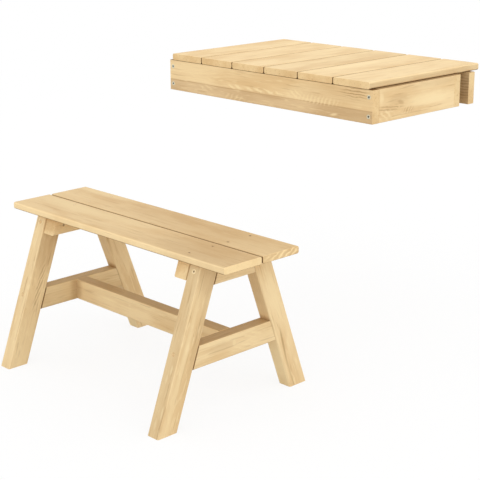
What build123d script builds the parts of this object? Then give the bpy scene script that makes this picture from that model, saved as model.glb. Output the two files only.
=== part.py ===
"""Children's hook-on table and bench in planed pine.

The table has no legs: it hangs over a low wall or rail by the slot between its back rail and its hook rail.
The bench stands in front of it on four splayed legs.

Millimetres. X runs along the bench, Y from the bench to the table, Z up from the floor.
The origin is on the floor, under the middle of the set.
"""

import os
from collections import namedtuple
from math import cos, radians, sin, tan

from build123d import *

# Boards of the seat and the table top
board_width = 94.4
board_thickness = 14.5
board_edge_radius = 4.0
board_end_radius = 1.0

# Bench
seat_board_count = 2
seat_board_gap = 2.8
seat_length = 640.0
seat_height = 320.0
leg_splay = 20.0
leg_end_inset = 70.0
leg_edge_inset = 10.7
timber_thickness = 30.0
timber_width = 44.0
timber_edge_radius = 3.0
lower_rail_top = 154.2
batten_thickness = 34.0
batten_height = 33.0
batten_end_inset = 3.0
batten_edge_radius = 3.0

# Table
table_board_count = 6
table_board_gap = 1.6
table_height = 593.0
frame_end_margin = 9.0
frame_depth = 284.0
rail_thickness = 20.0
rail_height = 67.5
rail_edge_radius = 1.5
rail_end_radius = 1.0
slot_width = 30.0
rear_overhang = 25.0
cleat_width = 22.0
cleat_height = 22.0
cleat_end_clearance = 1.0

# From the bench's middle to the front of the table
bench_to_table = 326.0

# Screws and dowels
thin_screw_radius = 1.75
thin_head_radius = 3.5
stout_screw_radius = 2.25
stout_head_radius = 4.5
screw_clearance = 0.1
screw_tip_length = 4.0
screw_tip_clearance = 1.0
recess_span = 4.4
recess_bar = 1.5
recess_depth = 1.8
countersink_angle = 90.0
frame_screw_edge = 14.5
frame_screw_bite = 35.0
board_screw_cover = 4.0
cleat_screw_cover = 6.0
cleat_screw_count = 3
hook_bore_depth = 35.0
seat_screw_edge = 18.0
seat_screw_inset = 10.0
seat_screw_cover = 10.0
rail_screw_bite = 28.0
top_screw_drop = 6.0
batten_screw_drop = 15.0
batten_screw_bite = 20.0
dowel_radius = 4.0
dowel_length = 36.0
dowel_chamfer = 1.0
dowel_edge = 11.0
dowel_clearance = 0.1
dowel_end_clearance = 1.0

# Bench, worked out
seat_board_pitch = board_width + seat_board_gap
seat_width = seat_board_count * seat_board_pitch - seat_board_gap
seat_underside = seat_height - board_thickness
slope = tan(radians(leg_splay))
leg_level_width = timber_width / cos(radians(leg_splay))
leg_top_half = seat_width / 2 - leg_edge_inset
foot_half = leg_top_half + seat_underside * slope
leg_outer_x = seat_length / 2 - leg_end_inset
leg_inner_x = leg_outer_x - timber_thickness
leg_middle_x = leg_outer_x - timber_thickness / 2
batten_inner_x = leg_inner_x - batten_thickness
batten_middle_x = leg_inner_x - batten_thickness / 2
batten_screw_z = seat_underside - batten_screw_drop
lower_rail_middle = lower_rail_top - timber_width / 2
top_rail_middle = seat_underside - timber_width / 2

# Table, worked out
table_board_pitch = board_width + table_board_gap
frame_length = table_board_count * table_board_pitch - table_board_gap + 2 * frame_end_margin
frame_top = table_height - board_thickness
frame_bottom = frame_top - rail_height
frame_middle_z = frame_top - rail_height / 2
top_depth = frame_depth + slot_width + rail_thickness + rear_overhang
cleat_length = frame_length - 2 * (rail_thickness + cleat_end_clearance)
cleat_middle_z = frame_top - cleat_height / 2

# Places along Y
set_depth = foot_half + bench_to_table + top_depth
bench_y = foot_half - set_depth / 2
table_front = bench_y + bench_to_table
frame_back = table_front + frame_depth
top_middle_y = table_front + top_depth / 2
frame_middle_y = table_front + frame_depth / 2
front_rail_y = table_front + rail_thickness / 2
back_rail_y = frame_back - rail_thickness / 2
hook_rail_y = frame_back + slot_width + rail_thickness / 2
front_cleat_y = table_front + rail_thickness + cleat_width / 2
back_cleat_y = frame_back - rail_thickness - cleat_width / 2

# Left and right ends of the set, front and back of the bench
ENDS = {"left": -1, "right": 1}
SIDES = {"front": -1, "back": 1}

# A screw goes through one piece and bites into the next
Screw = namedtuple("Screw", "radius head_radius through bite")
thin = (thin_screw_radius, thin_head_radius)
stout = (stout_screw_radius, stout_head_radius)
frame_screw = Screw(*stout, rail_thickness, frame_screw_bite)
board_screw = Screw(*thin, cleat_height, board_thickness - board_screw_cover)
cleat_screw = Screw(*thin, cleat_width, rail_thickness - cleat_screw_cover)
hook_screw = Screw(*thin, rail_height - hook_bore_depth, board_thickness - board_screw_cover)
seat_screw = Screw(*thin, board_thickness, batten_height - seat_screw_cover)
rail_screw = Screw(*stout, timber_width, rail_screw_bite)
batten_screw = Screw(*thin, batten_thickness, batten_screw_bite)


def outer_half(z):
    """Distance from the bench's middle to a leg's outer face, at a height."""
    return leg_top_half + (seat_underside - z) * slope


def inner_half(z):
    """Distance from the bench's middle to a leg's inner face, at a height."""
    return outer_half(z) - leg_level_width


def row_offsets(count, pitch):
    """Middles of a row of like things, counted from the middle of the row."""
    return [(i - (count - 1) / 2) * pitch for i in range(count)]


def keep(piece, name):
    """Labels a finished piece and writes its file."""
    piece.part.label = name
    export_step(piece.part, f"parts/{name}.step")


def drill(screw, places):
    """Cuts a countersunk hole for a screw at each place where its head sits."""
    with Locations(*places):
        CounterSinkHole(
            screw.radius + screw_clearance,
            screw.head_radius + screw_clearance,
            screw.through + screw.bite + screw_tip_clearance,
            countersink_angle,
        )


def bore_dowels(places):
    """Cuts the holes for the dowels, across the joint that they hold."""
    with Locations(*places):
        Cylinder(
            dowel_radius + dowel_clearance,
            dowel_length + 2 * dowel_end_clearance,
            mode=Mode.SUBTRACT,
        )


def screw_group(screw, places, name):
    """Makes a screw with a cross recess and sets one at each place."""
    length = screw.through + screw.bite
    cone = (screw.head_radius - screw.radius) / tan(radians(countersink_angle / 2))
    with BuildPart() as single:
        with BuildSketch(Plane.XZ):
            with BuildLine():
                Polyline(
                    (0, 0),
                    (screw.head_radius, 0),
                    (screw.radius, -cone),
                    (screw.radius, screw_tip_length - length),
                    (0, -length),
                    close=True,
                )
            make_face()
        revolve(axis=Axis.Z)
        with BuildSketch(Plane.XY):
            Rectangle(recess_span, recess_bar)
            Rectangle(recess_bar, recess_span)
        extrude(amount=-recess_depth, mode=Mode.SUBTRACT)
    with BuildPart() as group:
        with Locations(*places):
            add(single.part)
    keep(group, name)


# Where the table's screw heads sit, each plane facing out of the wood
frame_screw_x = frame_length / 2 - rail_thickness / 2
frame_screw_z = rail_height / 2 - frame_screw_edge
front_places = [
    Plane((end * frame_screw_x, table_front, frame_middle_z + up * frame_screw_z), z_dir=(0, -1, 0))
    for end in ENDS.values()
    for up in (-1, 1)
]
back_places = [
    Plane((end * frame_screw_x, frame_back, frame_middle_z + up * frame_screw_z), z_dir=(0, 1, 0))
    for end in ENDS.values()
    for up in (-1, 1)
]
board_xs = row_offsets(table_board_count, table_board_pitch)
cleat_bottom = frame_top - cleat_height
front_cleat_up = [Plane((x, front_cleat_y, cleat_bottom), z_dir=(0, 0, -1)) for x in board_xs]
back_cleat_up = [Plane((x, back_cleat_y, cleat_bottom), z_dir=(0, 0, -1)) for x in board_xs]
hook_mouths = [Plane((x, hook_rail_y, frame_bottom), z_dir=(0, 0, -1)) for x in board_xs]
hook_places = [mouth.offset(-hook_bore_depth) for mouth in hook_mouths]

# The cleats' sideways screws stand below the gaps between boards, clear of the upright ones
cleat_screw_pitch = (table_board_count // cleat_screw_count) * table_board_pitch
cleat_xs = row_offsets(cleat_screw_count, cleat_screw_pitch)
front_cleat_face = front_cleat_y + cleat_width / 2
back_cleat_face = back_cleat_y - cleat_width / 2
front_cleat_side = [Plane((x, front_cleat_face, cleat_middle_z), z_dir=(0, 1, 0)) for x in cleat_xs]
back_cleat_side = [Plane((x, back_cleat_face, cleat_middle_z), z_dir=(0, -1, 0)) for x in cleat_xs]

# Where the bench's screw heads and dowels sit
seat_screw_x = leg_inner_x - seat_screw_inset
seat_screw_offset = board_width / 2 - seat_screw_edge
seat_ys = [bench_y + offset for offset in row_offsets(seat_board_count, seat_board_pitch)]
seat_places = {
    y: [
        Plane((end * seat_screw_x, y + step * seat_screw_offset, seat_height), z_dir=(0, 0, 1))
        for end in ENDS.values()
        for step in (-1, 1)
    ]
    for y in seat_ys
}
all_seat_places = [place for places in seat_places.values() for place in places]


def rail_screw_place(end, side, z):
    """Head of a screw that goes square through a leg's slanted face into a rail's end."""
    outward = Vector(0, side * cos(radians(leg_splay)), sin(radians(leg_splay)))
    joint = Vector(end * leg_middle_x, bench_y + side * inner_half(z), z)
    return Plane(joint + outward * timber_width, z_dir=outward)


def batten_screw_place(end, side):
    """Head of a screw that goes through a batten's inner face into the middle of a leg."""
    y = bench_y + side * (outer_half(batten_screw_z) - leg_level_width / 2)
    return Plane((end * batten_inner_x, y, batten_screw_z), z_dir=(-end, 0, 0))


def dowel_places(end):
    """Middles of the dowels between the stretcher and one lower rail."""
    step = timber_width / 2 - dowel_edge
    return [
        Plane((end * leg_inner_x, bench_y, lower_rail_middle + up * step), z_dir=(end, 0, 0))
        for up in (-1, 1)
    ]


top_screw_z = top_rail_middle - top_screw_drop
top_places = {
    (end, side): rail_screw_place(end, side, top_screw_z)
    for end in ENDS.values()
    for side in SIDES.values()
}
lower_places = {
    (end, side): rail_screw_place(end, side, lower_rail_middle)
    for end in ENDS.values()
    for side in SIDES.values()
}
batten_places = {
    (end, side): batten_screw_place(end, side)
    for end in ENDS.values()
    for side in SIDES.values()
}

os.makedirs("parts", exist_ok=True)

# Table top
for number, x in enumerate(board_xs, start=1):
    with BuildPart() as table_board:
        with Locations((x, top_middle_y, table_height - board_thickness / 2)):
            Box(board_width, top_depth, board_thickness)
        fillet(table_board.edges().filter_by(Axis.Y), radius=board_edge_radius)
        fillet(table_board.faces().filter_by(Axis.Y).edges(), radius=board_end_radius)
        drill(board_screw, front_cleat_up + back_cleat_up)
        drill(hook_screw, hook_places)
    keep(table_board, f"table_board_{number}")

# Long rails of the table's frame, and the hook rail behind the slot
with BuildPart() as front_rail:
    with Locations((0, front_rail_y, frame_middle_z)):
        Box(frame_length, rail_thickness, rail_height)
    fillet(front_rail.edges().filter_by(Axis.X), radius=rail_edge_radius)
    fillet(front_rail.faces().filter_by(Axis.X).edges(), radius=rail_end_radius)
    drill(frame_screw, front_places)
    drill(cleat_screw, front_cleat_side)
keep(front_rail, "front_rail")

with BuildPart() as back_rail:
    with Locations((0, back_rail_y, frame_middle_z)):
        Box(frame_length, rail_thickness, rail_height)
    fillet(back_rail.edges().filter_by(Axis.X), radius=rail_edge_radius)
    fillet(back_rail.faces().filter_by(Axis.X).edges(), radius=rail_end_radius)
    drill(frame_screw, back_places)
    drill(cleat_screw, back_cleat_side)
keep(back_rail, "back_rail")

with BuildPart() as hook_rail:
    with Locations((0, hook_rail_y, frame_middle_z)):
        Box(frame_length, rail_thickness, rail_height)
    fillet(hook_rail.edges().filter_by(Axis.X), radius=rail_edge_radius)
    fillet(hook_rail.faces().filter_by(Axis.X).edges(), radius=rail_end_radius)
    drill(hook_screw, hook_places)
    with Locations(*hook_mouths):
        Hole(hook_screw.head_radius + screw_clearance, depth=hook_bore_depth)
keep(hook_rail, "hook_rail")

# End rails, between the two long rails
for end_name, end in ENDS.items():
    with BuildPart() as end_rail:
        with Locations((end * frame_screw_x, frame_middle_y, frame_middle_z)):
            Box(rail_thickness, frame_depth - 2 * rail_thickness, rail_height)
        fillet(end_rail.edges().filter_by(Axis.Y), radius=rail_edge_radius)
        drill(frame_screw, front_places + back_places)
    keep(end_rail, f"{end_name}_end_rail")

# Cleats under the boards, inside the frame
for cleat_name, y, upright, sideways in (
    ("front_cleat", front_cleat_y, front_cleat_up, front_cleat_side),
    ("back_cleat", back_cleat_y, back_cleat_up, back_cleat_side),
):
    with BuildPart() as cleat:
        with Locations((0, y, cleat_middle_z)):
            Box(cleat_length, cleat_width, cleat_height)
        fillet(cleat.edges().filter_by(Axis.X), radius=rail_edge_radius)
        drill(board_screw, upright)
        drill(cleat_screw, sideways)
    keep(cleat, cleat_name)

# Seat
for (side_name, side), y in zip(SIDES.items(), seat_ys):
    with BuildPart() as seat_board:
        with Locations((0, y, seat_height - board_thickness / 2)):
            Box(seat_length, board_width, board_thickness)
        fillet(seat_board.edges().filter_by(Axis.X), radius=board_edge_radius)
        fillet(seat_board.faces().filter_by(Axis.X).edges(), radius=board_end_radius)
        drill(seat_screw, seat_places[y])
    keep(seat_board, f"seat_board_{side_name}")

# Legs, cut level at the floor and under the seat
for end_name, end in ENDS.items():
    for side_name, side in SIDES.items():
        with BuildPart() as leg:
            with BuildSketch(Plane.YZ.offset(end * leg_middle_x)):
                with BuildLine():
                    Polyline(
                        (bench_y + side * inner_half(0), 0),
                        (bench_y + side * outer_half(0), 0),
                        (bench_y + side * outer_half(seat_underside), seat_underside),
                        (bench_y + side * inner_half(seat_underside), seat_underside),
                        close=True,
                    )
                make_face()
            extrude(amount=timber_thickness / 2, both=True)
            long_edges = leg.edges().sort_by(SortBy.LENGTH)[-4:]
            fillet(long_edges, radius=timber_edge_radius)
            drill(rail_screw, [top_places[end, side], lower_places[end, side]])
            drill(batten_screw, [batten_places[end, side]])
        keep(leg, f"{side_name}_{end_name}_leg")


def sloped_bar(x, thickness, bottom, top, half_at, edge_radius):
    """Bar across the bench with both ends cut on the legs' slope."""
    with BuildSketch(Plane.YZ.offset(x)) as outline:
        with BuildLine():
            Polyline(
                (bench_y - half_at(bottom), bottom),
                (bench_y + half_at(bottom), bottom),
                (bench_y + half_at(top), top),
                (bench_y - half_at(top), top),
                close=True,
            )
        make_face()
    bar = extrude(outline.sketch, amount=thickness / 2, both=True)
    fillet(bar.edges().filter_by(Axis.Y), radius=edge_radius)


# Rails between each pair of legs, and the batten inside them that carries the seat
for end_name, end in ENDS.items():
    with BuildPart() as top_rail:
        bottom = seat_underside - timber_width
        sloped_bar(
            end * leg_middle_x, timber_thickness, bottom, seat_underside, inner_half, timber_edge_radius
        )
        drill(rail_screw, [top_places[end, side] for side in SIDES.values()])
    keep(top_rail, f"{end_name}_top_rail")

    with BuildPart() as lower_rail:
        bottom = lower_rail_top - timber_width
        sloped_bar(
            end * leg_middle_x, timber_thickness, bottom, lower_rail_top, inner_half, timber_edge_radius
        )
        drill(rail_screw, [lower_places[end, side] for side in SIDES.values()])
        bore_dowels(dowel_places(end))
    keep(lower_rail, f"{end_name}_lower_rail")

    with BuildPart() as batten:
        bottom = seat_underside - batten_height
        sloped_bar(
            end * batten_middle_x,
            batten_thickness,
            bottom,
            seat_underside,
            lambda z: outer_half(z) - batten_end_inset,
            batten_edge_radius,
        )
        drill(seat_screw, all_seat_places)
        drill(batten_screw, [batten_places[end, side] for side in SIDES.values()])
    keep(batten, f"{end_name}_batten")

# Stretcher, doweled between the lower rails
with BuildPart() as stretcher:
    with Locations((0, bench_y, lower_rail_middle)):
        Box(2 * leg_inner_x, timber_thickness, timber_width)
    fillet(stretcher.edges().filter_by(Axis.X), radius=timber_edge_radius)
    bore_dowels(dowel_places(-1) + dowel_places(1))
keep(stretcher, "stretcher")

with BuildPart() as dowel:
    Cylinder(dowel_radius, dowel_length)
    chamfer(dowel.edges().filter_by(GeomType.CIRCLE), length=dowel_chamfer)
with BuildPart() as stretcher_dowels:
    with Locations(*dowel_places(-1), *dowel_places(1)):
        add(dowel.part)
keep(stretcher_dowels, "stretcher_dowels")

# Screws
screw_group(frame_screw, front_places + back_places, "frame_screws")
screw_group(board_screw, front_cleat_up + back_cleat_up, "board_screws")
screw_group(cleat_screw, front_cleat_side + back_cleat_side, "cleat_screws")
screw_group(hook_screw, hook_places, "hook_rail_screws")
screw_group(seat_screw, all_seat_places, "seat_screws")
screw_group(rail_screw, list(top_places.values()) + list(lower_places.values()), "leg_screws")
screw_group(batten_screw, list(batten_places.values()), "batten_screws")
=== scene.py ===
"""Looks of a children's hook-on table and bench in planed pine.

Metres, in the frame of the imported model: X along the bench, Y from the bench to the table, Z up from the
floor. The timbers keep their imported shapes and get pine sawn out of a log, each with its own cut. The screws
get tapered cross recesses and the dowels flutes, and a floor, a pale dome and a camera make a plain studio.
"""

import logging
import math
from abc import ABC, abstractmethod
from dataclasses import dataclass
from enum import Enum
from typing import Any, Iterator, Optional, Sequence, Union

import bmesh
import bpy
from mathutils import Matrix, Vector


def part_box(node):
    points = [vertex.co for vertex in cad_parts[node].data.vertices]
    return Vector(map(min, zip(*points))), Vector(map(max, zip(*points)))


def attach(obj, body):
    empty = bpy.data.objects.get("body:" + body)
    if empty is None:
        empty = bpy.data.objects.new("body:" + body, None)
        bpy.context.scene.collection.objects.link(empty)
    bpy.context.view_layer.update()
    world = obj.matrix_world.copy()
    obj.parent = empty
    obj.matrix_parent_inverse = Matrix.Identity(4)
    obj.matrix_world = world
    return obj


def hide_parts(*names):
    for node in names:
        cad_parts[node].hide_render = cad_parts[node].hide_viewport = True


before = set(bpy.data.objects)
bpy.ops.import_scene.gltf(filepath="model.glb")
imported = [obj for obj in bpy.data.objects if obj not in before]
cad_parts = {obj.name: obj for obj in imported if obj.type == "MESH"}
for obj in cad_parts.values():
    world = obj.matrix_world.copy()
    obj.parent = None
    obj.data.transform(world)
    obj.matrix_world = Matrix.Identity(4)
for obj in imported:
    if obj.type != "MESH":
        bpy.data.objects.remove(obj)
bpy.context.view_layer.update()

log = logging.getLogger("table_and_bench")

Term = Union["Field", float]
Colour = tuple[float, float, float]
Pair = tuple[float, float]
Socket = bpy.types.NodeSocket
Material = bpy.types.Material
Shape = bmesh.types.BMesh
MM = 0.001
SAME_PLACE = 0.001 * MM
WHITE = (1.0, 1.0, 1.0, 1.0)


class Body(Enum):
    """The two things that move apart."""

    TABLE = "table"
    BENCH = "bench"


class Slot(Enum):
    """The record's finishes of the pieces that are made here."""

    DOWELS = "beech_dowels"
    SCREWS = "zinc_screws"


class Run(Enum):
    """Which way a straight timber runs, by the frame's axes."""

    ALONG_X = 0
    ALONG_Y = 1
    ALONG_Z = 2


class Facing(Enum):
    """Ways that a face may look."""

    UP = (0.0, 0.0, 1.0)
    DOWN = (0.0, 0.0, -1.0)
    LEFT = (-1.0, 0.0, 0.0)
    RIGHT = (1.0, 0.0, 0.0)
    FRONT = (0.0, -1.0, 0.0)
    BACK = (0.0, 1.0, 0.0)


class Tint(Enum):
    """What a mark does to the wood: makes it paler or darker."""

    PALE = "pale"
    DARK = "dark"


class Plane(Enum):
    """Where a mark lies: beside the grain, across or deep, or on the ends."""

    ACROSS = "across"
    DEEP = "deep"
    END = "end"


def linear(*levels: int) -> Colour:
    """Turns a colour as a screen shows it into light.

    Args:
        levels: Red, green and blue, 0 to 255.

    Returns:
        The same colour in linear light, 0 to 1.
    """
    shares = (level / 255 for level in levels)
    return tuple(s / 12.92 if s <= 0.04045 else ((s + 0.055) / 1.055) ** 2.4 for s in shares)


class Field:
    """A number that changes over a surface: a node's output, with sums written as Python."""

    def __init__(self, tree: "Tree", socket: Socket) -> None:
        """Wraps an output socket of a tree."""
        self.tree = tree
        self.socket = socket

    def __add__(self, other: Term) -> "Field":
        """This plus other."""
        return self.tree.math("ADD", self, other)

    def __sub__(self, other: Term) -> "Field":
        """This minus other."""
        return self.tree.math("SUBTRACT", self, other)

    def __rsub__(self, other: float) -> "Field":
        """Other minus this."""
        return self.tree.math("SUBTRACT", other, self)

    def __mul__(self, other: Term) -> "Field":
        """This times other."""
        return self.tree.math("MULTIPLY", self, other)

    def __truediv__(self, other: float) -> "Field":
        """This over other."""
        return self.tree.math("DIVIDE", self, other)

    def __abs__(self) -> "Field":
        """This without its sign."""
        return self.tree.math("ABSOLUTE", self)

    def centred(self) -> "Field":
        """A noise or share, from 0 to 1, moved to lie around 0."""
        return self - 0.5

    def floor(self) -> "Field":
        """The whole number below this."""
        return self.tree.math("FLOOR", self)

    def fraction(self) -> "Field":
        """What is left above the whole number."""
        return self.tree.math("FRACT", self)

    def root(self) -> "Field":
        """The square root."""
        return self.tree.math("SQRT", self)

    def bell(self) -> "Field":
        """1 at 0, falling away on both sides."""
        return self.tree.math("EXPONENT", self * self * -1)

    def larger(self, other: "Field") -> "Field":
        """The larger of this and other."""
        return self.tree.math("MAXIMUM", self, other)

    def rise(self, start: float, end: float) -> "Field":
        """A soft step.

        Args:
            start: Where it is 0.
            end: Where it is 1.

        Returns:
            The step, from 0 to 1.
        """
        sockets = {"Value": self, "From Min": start, "From Max": end, "To Min": 0.0, "To Max": 1.0}
        return self.tree.value("ShaderNodeMapRange", {"interpolation_type": "SMOOTHSTEP"}, sockets, "Result")


class Tree:
    """A material's or the world's nodes."""

    NOISE_ROUGHNESS = 0.55

    def __init__(self, nodes: bpy.types.NodeTree) -> None:
        """Empties the tree."""
        self.nodes = nodes
        nodes.nodes.clear()

    def node(
        self, kind: str, settings: Optional[dict[str, Any]] = None, sockets: Optional[dict[Any, Any]] = None
    ) -> bpy.types.Node:
        """Adds a node.

        Args:
            kind: The node's type.
            settings: Its own properties, set before its sockets.
            sockets: Values or links for its inputs, by name or place.

        Returns:
            The node.
        """
        made = self.nodes.nodes.new(kind)
        for name, value in (settings or {}).items():
            if name == "stops":
                self._set_stops(made.color_ramp, value)
            else:
                setattr(made, name, value)
        for name, value in (sockets or {}).items():
            taken = self._input(made, name)
            if isinstance(value, Field):
                value = value.socket
            if isinstance(value, Socket):
                self.nodes.links.new(value, taken)
            else:
                taken.default_value = value
        return made

    @staticmethod
    def _input(node: bpy.types.Node, name: Union[str, int]) -> Socket:
        """Finds one of a node's inputs.

        Args:
            node: The node.
            name: The input's place, its identifier, or its name among the inputs in use.

        Returns:
            The input.
        """
        if isinstance(name, int):
            return node.inputs[name]
        return next(s for s in node.inputs if s.identifier == name or (s.name == name and s.enabled))

    @staticmethod
    def _set_stops(ramp: bpy.types.ColorRamp, stops: Sequence[tuple[float, float]]) -> None:
        """Sets a ramp's stops.

        Args:
            ramp: The ramp.
            stops: The place and the level of grey of each stop.
        """
        while len(ramp.elements) < len(stops):
            ramp.elements.new(1.0)
        for element, (place, level) in zip(ramp.elements, stops):
            element.position = place
            element.color = (level, level, level, 1.0)

    def value(self, kind: str, settings: dict[str, Any], sockets: dict[Any, Any], output: str) -> Field:
        """Adds a node and gives one of its outputs as a number."""
        return Field(self, self.node(kind, settings, sockets).outputs[output])

    def math(self, operation: str, *values: Term) -> Field:
        """Adds a Math node over values."""
        return self.value("ShaderNodeMath", {"operation": operation}, dict(enumerate(values)), "Value")

    def coordinates(self, kind: str) -> Socket:
        """Where a place is, or how its face looks."""
        return self.node("ShaderNodeTexCoord").outputs[kind]

    def combine(self, *parts: Term) -> Socket:
        """A vector out of three values."""
        return self.node("ShaderNodeCombineXYZ", None, dict(enumerate(parts))).outputs["Vector"]

    def separate(self, vector: Socket) -> tuple[Field, Field, Field]:
        """The three values of a vector."""
        made = self.node("ShaderNodeSeparateXYZ", None, {"Vector": vector})
        return tuple(Field(self, socket) for socket in made.outputs)

    def noise(self, vector: Socket, scale: float = 1.0, detail: float = 2.0) -> Field:
        """Cloudy noise around 0.5."""
        sockets = {"Vector": vector, "Scale": scale, "Detail": detail, "Roughness": self.NOISE_ROUGHNESS}
        return self.value("ShaderNodeTexNoise", {"noise_dimensions": "3D"}, sockets, "Fac")

    def dot(self, vector: Socket, way: Vector) -> Field:
        """How much of a vector points one way."""
        return self.value("ShaderNodeVectorMath", {"operation": "DOT_PRODUCT"}, {0: vector, 1: way}, "Value")

    def scale(self, colour: Socket, factor: float) -> Socket:
        """A colour made lighter or darker."""
        made = self.node("ShaderNodeVectorMath", {"operation": "SCALE"}, {0: colour, "Scale": factor})
        return made.outputs["Vector"]

    def mix(self, share: Field, first: Any, second: Any, blend: str = "MIX") -> Socket:
        """Mixes two colours.

        Args:
            share: How much of the second is in the result.
            first: A colour or a link to one.
            second: A colour or a link to one.
            blend: How the second goes onto the first.

        Returns:
            The mixed colour.
        """
        colours = {
            name: (*value, 1.0) if isinstance(value, tuple) else value
            for name, value in (("A_Color", first), ("B_Color", second))
        }
        settings = {"data_type": "RGBA", "blend_type": blend}
        made = self.node("ShaderNodeMix", settings, {"Factor_Float": share, **colours})
        return next(s for s in made.outputs if s.identifier == "Result_Color")

    def surface(self, sockets: dict[str, Any]) -> None:
        """Ends a material with a surface that has these inputs."""
        shader = self.node("ShaderNodeBsdfPrincipled", None, sockets)
        self.node("ShaderNodeOutputMaterial", None, {"Surface": shader.outputs["BSDF"]})


def new_material(name: str) -> tuple[Material, Tree]:
    """Starts a material.

    Args:
        name: Its name.

    Returns:
        The material and its empty nodes.
    """
    made = bpy.data.materials.new(name)
    made.use_nodes = True
    return made, Tree(made.node_tree)


@dataclass(frozen=True)
class Shade:
    """Painted shade on faces that look one way, or on their edges alone, where a neighbour keeps the light off
    or less light falls.
    """

    facing: Facing
    depth: float = 1.0
    start: float = 0.35
    edge_only: bool = False


@dataclass(frozen=True)
class Joint:
    """Painted shadow lines where the slanting ends of a bar meet the legs, deeper at its front end."""

    half: float
    slope: float
    front: float = 0.85
    back: float = 0.35
    width: float = 2.4 * MM
    change: float = 1 * MM


@dataclass(frozen=True)
class Mark:
    """A patch of figure, painted shade or painted light: a soft blot that may be turned, or strokes one pitch
    apart that lie at a turn.
    """

    along: float
    beside: float
    length: float
    height: float
    strength: float
    tint: Tint = Tint.PALE
    pitch: float = 0.0
    turn: float = 0.0
    plane: Plane = Plane.ACROSS
    facing: Optional[Facing] = None


@dataclass(frozen=True)
class Cut:
    """How one timber was sawn out of its log.

    The heart of the log runs along the timber, at a place across and deep from its middle, and may lean.
    """

    node: str
    heart_across: float
    heart_deep: float
    lean_across: float = 0.0
    lean_deep: float = 0.0
    sway: float = 4 * MM
    ring: float = 4.2 * MM
    heartwood: float = 0.0
    tone: float = 1.0
    figure: float = 1.0
    flecks: float = 0.2
    mottle: float = 0.0
    seed: float = 0.0
    marks: tuple[Mark, ...] = ()
    shades: tuple[Shade, ...] = ()


@dataclass(frozen=True)
class Lie:
    """Where a timber lies: its middle, the way its grain runs and the way across it."""

    middle: Vector
    along: Vector
    across: Vector

    def deep(self) -> Vector:
        """The way through it."""
        return self.along.cross(self.across)

    def turn(self) -> Matrix:
        """The turn from the timber's own axes to the frame's."""
        return Matrix((self.along, self.across, self.deep())).transposed()


@dataclass(frozen=True)
class Grain:
    """Noise drawn out along the wood: how fine it is, how far shifted, and between which levels it shows."""

    along: float
    beside: float
    shift: float
    low: float = 0.0
    high: float = 1.0
    strength: float = 1.0
    detail: float = 2.0

    def shown(self, noise: Field) -> Field:
        """How much of its noise shows."""
        return noise.rise(self.low, self.high) * self.strength


@dataclass(frozen=True)
class Spot:
    """A place on a timber as its material sees it: how far along, across and deep, and how its face looks."""

    tree: Tree
    along: Field
    across: Field
    deep: Field
    normal: Socket
    end: Field
    edge: Field

    def looks(self, facing: Facing) -> Field:
        """How squarely the face looks one way."""
        return self.tree.dot(self.normal, Vector(facing.value))

    def noise(self, grain: Grain, seed: float) -> Field:
        """Noise drawn out along the wood."""
        along = self.along * grain.along + seed
        across, deep = self.across * grain.beside, self.deep * grain.beside + grain.shift
        return self.tree.noise(self.tree.combine(along, across, deep), detail=grain.detail)


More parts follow.
